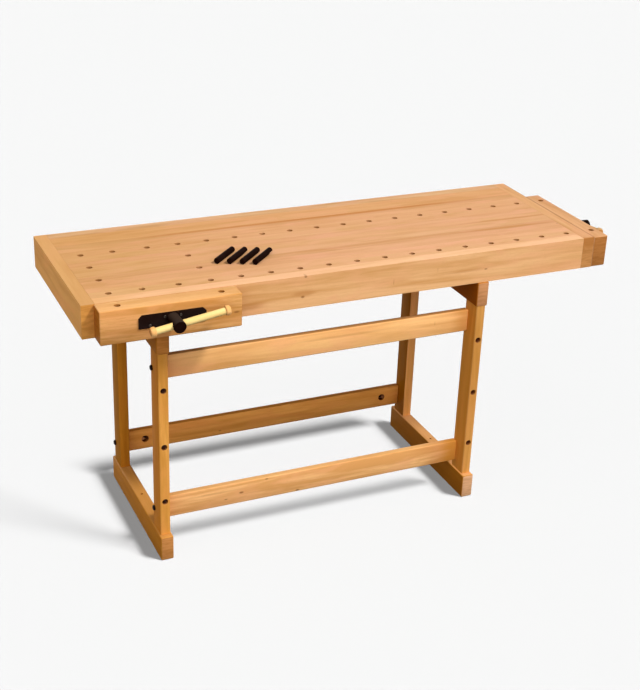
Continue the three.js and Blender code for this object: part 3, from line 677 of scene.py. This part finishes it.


# Wood of each piece: tones, grain axis and look. The face tints are painted light and shade on faces
# that look up or left. The darker tints of the bearers, the left rear leg, the right foot and the rear
# stretcher are painted shade under the top.
PIECES = {
    "front_dog_board": board("front_dog_board", tint=(0.95, 1.03, 1.24)),
    "middle_board": board("middle_board", tint=(0.91, 0.97, 1.17), marks=MIDDLE_STREAKS),
    "rear_dog_board": board("rear_dog_board", tint=(0.89, 0.95, 1.08), marks=REAR_STREAKS),
    "rear_board": board("rear_board", tint=(0.89, 0.91, 1.00)),
    "front_apron": (SIDE_BEECH, "x", {
        "contrast": 0.75,
        "left_fade": (0.97, 0.94, 0.86),
        "tint": (1.12, 1.20, 1.40),
        "faces": [(UP, (0.98, 1.04, 1.25))],
        "marks": APRON_MARKS,
    }),
    "rear_apron": (SIDE_BEECH, "x", {"tint": (0.88, 1.00, 1.33)}),
    "left_end_cap": (SIDE_BEECH, "y", {
        "contrast": 0.5,
        "tint": (1.05, 0.97, 0.60),
        "end_tint": (1.25, 1.25, 0.90),
        "faces": [(UP, (0.82, 0.92, 1.46))],
    }),
    "right_end_cap": (SIDE_BEECH, "y", {
        "contrast": 0.5,
        "tint": (0.93, 0.99, 1.20),
        "end_tint": (1.01, 1.00, 1.00),
        "marks": cap_marks("right_end_cap"),
    }),
    "front_vise_jaw": (SIDE_BEECH, "x", {
        "contrast": 1.9,
        "tint": (1.01, 0.98, 0.86),
        "end_tint": (0.76, 0.56, 0.21),
        "faces": [(UP, (1.01, 1.09, 1.24))],
        "marks": JAW_MARKS,
    }),
    "tail_vise_jaw": (SIDE_BEECH, "y", {
        "contrast": 0.6,
        "tint": (0.91, 0.96, 1.24),
        "end_tint": (0.79, 0.69, 0.58),
    }),
    "left_foot": (AMBER_BEECH, "y", {
        "tint": (0.80, 0.78, 0.62),
        "end_tint": (0.94, 0.87, 0.79),
        "faces": [(UP, (0.93, 0.97, 1.37)), (LEFT, (0.77, 0.66, 0.38))],
    }),
    "right_foot": (AMBER_BEECH, "y", {
        "tint": (0.75, 0.70, 0.52),
        "end_tint": (1.22, 1.47, 2.43),
        "faces": [(UP, (1.26, 1.50, 3.50)), (LEFT, (0.56, 0.47, 0.22))],
    }),
    "left_bearer": (AMBER_BEECH, "y", {
        "tint": (0.75, 0.62, 0.38),
        "end_tint": (1.04, 0.87, 0.58),
        "faces": [(LEFT, (0.80, 0.72, 0.22))],
    }),
    "right_bearer": (AMBER_BEECH, "y", {
        "tint": (0.68, 0.52, 0.28),
        "end_tint": (1.05, 1.05, 1.39),
        "faces": [(LEFT, (0.52, 0.38, 0.04))],
    }),
    "left_front_leg": (AMBER_BEECH, "z", {
        "hole": DEEP_HOLE,
        "tint": (1.05, 1.07, 1.06),
        "faces": [(LEFT, (0.735, 0.57, 0.26))],
    }),
    "left_rear_leg": (AMBER_BEECH, "z", {
        "hole": DEEP_HOLE,
        "tint": (0.74, 0.61, 0.24),
        "faces": [(LEFT, (0.72, 0.72, 0.36))],
    }),
    "right_front_leg": (AMBER_BEECH, "z", {
        "hole": DEEP_HOLE,
        "tint": (0.95, 1.00, 1.22),
        "faces": [(LEFT, (0.87, 0.73, 0.40))],
    }),
    "right_rear_leg": (AMBER_BEECH, "z", {
        "hole": DEEP_HOLE,
        "tint": (1.18, 1.22, 1.85),
        "faces": [(LEFT, (0.37, 0.27, 0.03))],
    }),
    # Its top face is darkened, a painted shadow under the apron.
    "upper_front_stretcher": (HONEY_BEECH, "x", {
        "contrast": 0.55,
        "tint": (1.22, 1.28, 1.37),
        "faces": [(UP, (0.55, 0.48, 0.40))],
        "marks": UPPER_STRETCHER_MARKS + shaded_end("upper_front_stretcher", 0.20, 0.50),
    }),
    "lower_front_stretcher": (HONEY_BEECH, "x", {
        "contrast": 1.5,
        "tint": (1.11, 1.16, 1.28),
        "faces": [(UP, (0.84, 0.83, 0.77))],
        "marks": LOWER_STRETCHER_MARKS + shaded_end("lower_front_stretcher", 0.42, 0.90),
    }),
    "rear_stretcher": (HONEY_BEECH, "x", {
        "hole": DEEP_HOLE,
        "tint": (1.00, 0.85, 0.53),
        "faces": [(UP, (0.69, 0.59, 0.38))],
        "marks": REAR_STRETCHER_MARKS,
    }),
}
EASED = {"tail_vise_jaw": TAIL_JAW_EDGE, "left_end_cap": GLUED_EDGE}
EASED.update({node: GLUED_EDGE for node in BOARD_STRIPS})
for i, (node, (tones, axis, look)) in enumerate(PIECES.items()):
    dress(node, wood(f"{node}_wood", tones, axis, PIECE_SEED + i, **look), EASED.get(node, WOOD_EDGE))

# Handles and dowels. Each vise has its body prefix, grain axis of the handle, bar tint and knob tint
VISES = {
    "front_vise": ("front", "x", EVEN, (0.97, 0.71, 0.66)),
    # The tail vise's darker bar and knob tints are painted shade.
    "tail_vise": ("tail", "y", (0.62, 0.52, 0.55), (0.59, 0.50, 0.61)),
}
for i, (vise, (_, axis, bar_tint, knob_tint)) in enumerate(VISES.items()):
    dress(f"{vise}_handle_bar", wood(f"{vise}_bar_wood", BIRCH, axis, BAR_SEED + i, tint=bar_tint))
    knob_wood = wood(f"{vise}_knob_wood", BIRCH, axis, KNOB_SEED + i, tint=knob_tint)
    for knob in (1, 2):
        dress(f"{vise}_handle_knob_{knob}", knob_wood)
dowel_wood = wood("dowel_wood", BIRCH, "z", DOWEL_SEED)

# Metal: tone, worn tone, roughness, coarse and fine grain, relief
DULL = ((0.008, 0.0024, 0.0015), (0.0135, 0.0050, 0.0034), 0.34, (38.0, 900.0), 0.00003)
dull_steel = metal("dull_steel", *DULL, Specular_IOR_Level=0.005)
# The front hub's top gets a painted highlight through its upper tone.
hub_steel = metal("hub_steel", *DULL, upper=(0.037, 0.0235, 0.0175), Specular_IOR_Level=0.005)
black_steel = metal(
    "black_steel", (0.0105, 0.0038, 0.0027), (0.016, 0.0065, 0.0048), 0.34, (38.0, 900.0), 0.00003,
    Specular_IOR_Level=0.05,
)
bright_steel = metal(
    "bright_steel", (0.52, 0.53, 0.54), (0.64, 0.64, 0.63), 0.28, (25.0, 1400.0), 0.00001,
    Metallic=1.0,
)
zinc_steel = metal(
    "zinc_steel", (0.065, 0.050, 0.040), (0.12, 0.098, 0.080), 0.46, (45.0, 1100.0), 0.00002,
    Metallic=1.0,
)
brown_steel = metal(
    "brown_steel", (0.24, 0.095, 0.038), (0.36, 0.155, 0.068), 0.46, (45.0, 1100.0), 0.00002,
    Metallic=1.0,
)
cast_iron = metal(
    "cast_iron", (0.055, 0.056, 0.058), (0.095, 0.092, 0.088), 0.58, (60.0, 700.0), 0.00015,
    Metallic=0.7,
)
dress("front_vise_hub", hub_steel)
dress("tail_vise_hub", dull_steel)
for vise in VISES:
    dress(f"{vise}_jaw_plate", black_steel, PLATE_EDGE)
    dress(f"{vise}_guide_rod_1", bright_steel)
    dress(f"{vise}_guide_rod_2", bright_steel)
    dress(f"{vise}_screw", bright_steel)
    dress(f"{vise}_nut_plate", cast_iron, CASTING_EDGE)
BOLTS = [node for node in nodes if "_bolt_" in node]
for node in nodes:
    if node.startswith("bench_dog_"):
        dress(node, dull_steel)
    if node in BOLTS:
        dress(node, black_steel)
    if "_nut_left" in node or "_nut_right" in node:
        dress(node, brown_steel)
    if "_top_dowel_" in node:
        dress(node, dowel_wood)


def span(node, direction):
    """Where a piece starts and ends along an axis."""
    reaches = [corner.dot(direction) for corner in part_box(node)]
    return min(reaches), max(reaches)


def screw_shell(vise, level, out):
    """A vise's screw from the hub inwards: spigot, shaft, collar behind the plate, and thread."""
    hub_back = -span(f"{vise}_hub", out)[0]
    collar_front = -span(f"{vise}_jaw", out)[1] + JAW_TO_COLLAR
    collar_back = collar_front + COLLAR_THICKNESS
    thread_start = collar_back + 2 * THREAD_PITCH
    tail = -span(f"{vise}_screw", out)[0]
    rings = [
        (SPIGOT_RADIUS, hub_back - SPIGOT_LENGTH),
        (SPIGOT_RADIUS, hub_back + JAW_TO_COLLAR),
        (SCREW_RADIUS, hub_back + JAW_TO_COLLAR),
        (SCREW_RADIUS, collar_front),
        (COLLAR_RADIUS, collar_front),
        (COLLAR_RADIUS, collar_back),
        (SCREW_RADIUS, collar_back),
        (SCREW_RADIUS, thread_start),
        (THREAD_ROOT, thread_start + THREAD_PITCH / 3),
    ]
    place = placed(level, -out)
    return joined([turned(rings, place, SCREW_SIDES), thread(thread_start, tail, place)])


def screws(seats, direction, radius, height, socket, length):
    """Screws on seats that look one way, each with a shank half as wide as its head."""
    heads = []
    for seat in seats:
        place = placed(seat, direction)
        heads.append(socket_head(radius, height, socket, radius / 2, length, place))
    return joined(heads)


def plate_screws(vise, level, out):
    """The screws that hold a vise's jaw plate on its jaw."""
    face = level + out * span(f"{vise}_jaw_plate", out)[1]
    side = UP.cross(out)
    seats = [face + side * across + UP * up for across, up in PLATE_SCREWS]
    sizes = PLATE_SCREW_RADIUS, PLATE_SCREW_HEIGHT, PLATE_SCREW_SOCKET, PLATE_SCREW_LENGTH
    return screws(seats, out, *sizes)


def nut_screws(vise, level, out):
    """The screws that hold a vise's nut plate on the bench."""
    face = level + out * span(f"{vise}_nut_plate", out)[0]
    side = UP.cross(out)
    seats = [face + side * across for across in (-NUT_SCREW_SPREAD, NUT_SCREW_SPREAD)]
    sizes = NUT_SCREW_RADIUS, NUT_SCREW_HEIGHT, NUT_SCREW_SOCKET, NUT_SCREW_LENGTH
    return screws(seats, -out, *sizes)


def bolt_shell(node):
    """A stretcher bolt whose domed head with its hexagon socket stands on the outer face of a leg."""
    low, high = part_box(node)
    outward = -1.0 if node.endswith("left") else 1.0
    seat = (low + high) / 2
    seat.x = (low.x if outward < 0 else high.x) - outward * BOLT_HEAD_HEIGHT
    length = high.x - low.x - BOLT_HEAD_HEIGHT
    place = placed(seat, (outward, 0.0, 0.0))
    return socket_head(BOLT_HEAD_RADIUS, BOLT_HEAD_HEIGHT, BOLT_SOCKET, BOLT_RADIUS, length, place)


# Threads and fasteners
for vise, (short, *_) in VISES.items():
    hinge = joints[f"{short}_screw_turn"]
    out = Vector(hinge["axis"])
    level = Vector(hinge["pos_m"])
    level -= out * level.dot(out)
    shell = screw_shell(vise, level, out)
    screw = new_piece(f"{vise}_threaded_screw", shell, bright_steel, f"{short}_screw")
    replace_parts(screw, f"{vise}_screw")
    shell = plate_screws(vise, level, out)
    new_piece(f"{vise}_plate_screws", shell, zinc_steel, f"{short}_jaw")
    shell = nut_screws(vise, level, out)
    new_piece(f"{vise}_nut_screws", shell, black_steel, "bench")
for node in BOLTS:
    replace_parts(new_piece(f"{node}_socket", bolt_shell(node), black_steel, "bench"), node)


def seen_rays(g):
    """1 for the rays that show a surface directly, by reflection or through glass."""
    path = g.add("ShaderNodeLightPath").outputs
    seen = g.math("MAXIMUM", path["Is Camera Ray"], path["Is Glossy Ray"])
    return g.math("MAXIMUM", seen, path["Is Transmission Ray"])


def make_floor():
    """A wide floor that shows pale and throws little light back."""
    material, g = new_material("floor_paint")
    dim = g.add("ShaderNodeBsdfDiffuse", {"Color": rgba((FLOOR_BOUNCE,) * 3)})
    paint = g.add("ShaderNodeBsdfDiffuse", {"Color": rgba((FLOOR_COLOR,) * 3)})
    glow = g.add("ShaderNodeEmission", {"Color": rgba((FLOOR_GLOW,) * 3), "Strength": 1.0})
    pale = g.add("ShaderNodeAddShader", {0: paint.outputs[0], 1: glow.outputs[0]})
    shader = g.add("ShaderNodeMixShader", {0: seen_rays(g), 1: dim.outputs[0], 2: pale.outputs[0]})
    g.add("ShaderNodeOutputMaterial", {"Surface": shader.outputs[0]})
    mesh = bpy.data.meshes.new("floor")
    signs = ((-1, -1), (1, -1), (1, 1), (-1, 1))
    corners = [(x * FLOOR_HALF, y * FLOOR_HALF, -FLOOR_DROP) for x, y in signs]
    mesh.from_pydata(corners, [], [(0, 1, 2, 3)])
    mesh.materials.append(material)
    floor = bpy.data.objects.new("floor", mesh)
    bpy.context.scene.collection.objects.link(floor)
    return floor


def make_sky():
    """A plain background, and the soft light that comes from all round and from the front left."""
    world = bpy.data.worlds.new("studio")
    bpy.context.scene.world = world
    world.use_nodes = True
    g = Graph(world.node_tree)
    toward_fill = g.vector("DOT_PRODUCT", g.coordinate("Generated"), FILL_FROM)["Value"]
    fill = g.math("MULTIPLY", g.math("MAXIMUM", toward_fill, 0.0), FILL_BRIGHTNESS)
    light = g.add("ShaderNodeBackground", {"Strength": g.math("ADD", fill, SKY_BRIGHTNESS)})
    light.inputs["Color"].default_value = rgba((1.0, 1.0, 1.0))
    seen = g.add("ShaderNodeBackground", {"Color": rgba((BACKGROUND,) * 3), "Strength": 1.0})
    mixed = g.add("ShaderNodeMixShader", {0: seen_rays(g), 1: light.outputs[0], 2: seen.outputs[0]})
    g.add("ShaderNodeOutputWorld", {"Surface": mixed.outputs[0]})


def linked(name, objects, state):
    """A collection that a lamp uses to include or exclude objects."""
    collection = bpy.data.collections.new(name)
    for obj in objects:
        collection.objects.link(obj)
    for entry in collection.collection_objects:
        entry.light_linking.link_state = state
    return collection


def make_lamp(name, start, angle, brightness, receivers, blockers=None):
    """A sun that shines from start on its receivers.

    Only its blockers shade them, or all pieces if none are given.
    """
    data = bpy.data.lights.new(name, "SUN")
    data.energy = brightness * math.pi
    data.angle = math.radians(angle)
    lamp = bpy.data.objects.new(name, data)
    lamp.rotation_mode = "QUATERNION"
    lamp.rotation_quaternion = Vector(start).to_track_quat("Z", "Y")
    bpy.context.scene.collection.objects.link(lamp)
    lamp.light_linking.receiver_collection = receivers
    lamp.light_linking.blocker_collection = blockers


def make_camera():
    """The camera of the photograph, from its place, angles and focal length."""
    azimuth, elevation, roll = (
        math.radians(angle) for angle in (CAMERA_AZIMUTH, CAMERA_ELEVATION, CAMERA_ROLL)
    )
    reach = math.cos(elevation)
    back = Vector((math.sin(azimuth) * reach, -math.cos(azimuth) * reach, math.sin(elevation)))
    level = UP.cross(back).normalized()
    upright = back.cross(level)
    right = level * math.cos(roll) + upright * math.sin(roll)
    up = upright * math.cos(roll) - level * math.sin(roll)
    data = bpy.data.cameras.new("camera")
    data.sensor_width = SENSOR
    data.lens = FOCAL_PIXELS / IMAGE_LONG_SIDE * SENSOR
    data.clip_end = CAMERA_REACH
    camera = bpy.data.objects.new("camera", data)
    turn = Matrix((right, up, back)).transposed().to_4x4()
    camera.matrix_world = Matrix.Translation(CAMERA_PLACE) @ turn
    bpy.context.scene.collection.objects.link(camera)
    bpy.context.scene.camera = camera


floor = make_floor()
make_sky()
make_camera()
the_floor = linked("the_floor", [floor], "INCLUDE")
not_the_floor = linked("not_the_floor", [floor], "EXCLUDE")
key_blockers = linked("key_blockers", [nodes[node] for node in KEY_PASSES], "EXCLUDE")
make_lamp("key_lamp", KEY_FROM, KEY_ANGLE, KEY_BRIGHTNESS, not_the_floor, key_blockers)
make_lamp("back_lamp", BACK_FROM, BACK_ANGLE, BACK_BRIGHTNESS, not_the_floor)
for name, (start, angle, share, pieces) in FLOOR_LAMPS.items():
    brightness = FLOOR_BRIGHTNESS * share / Vector(start).normalized().z
    blockers = linked(f"{name}_blockers", [nodes[piece] for piece in pieces], "INCLUDE")
    make_lamp(name, start, angle, brightness, the_floor, blockers)
bpy.context.scene.view_settings.view_transform = "Standard"
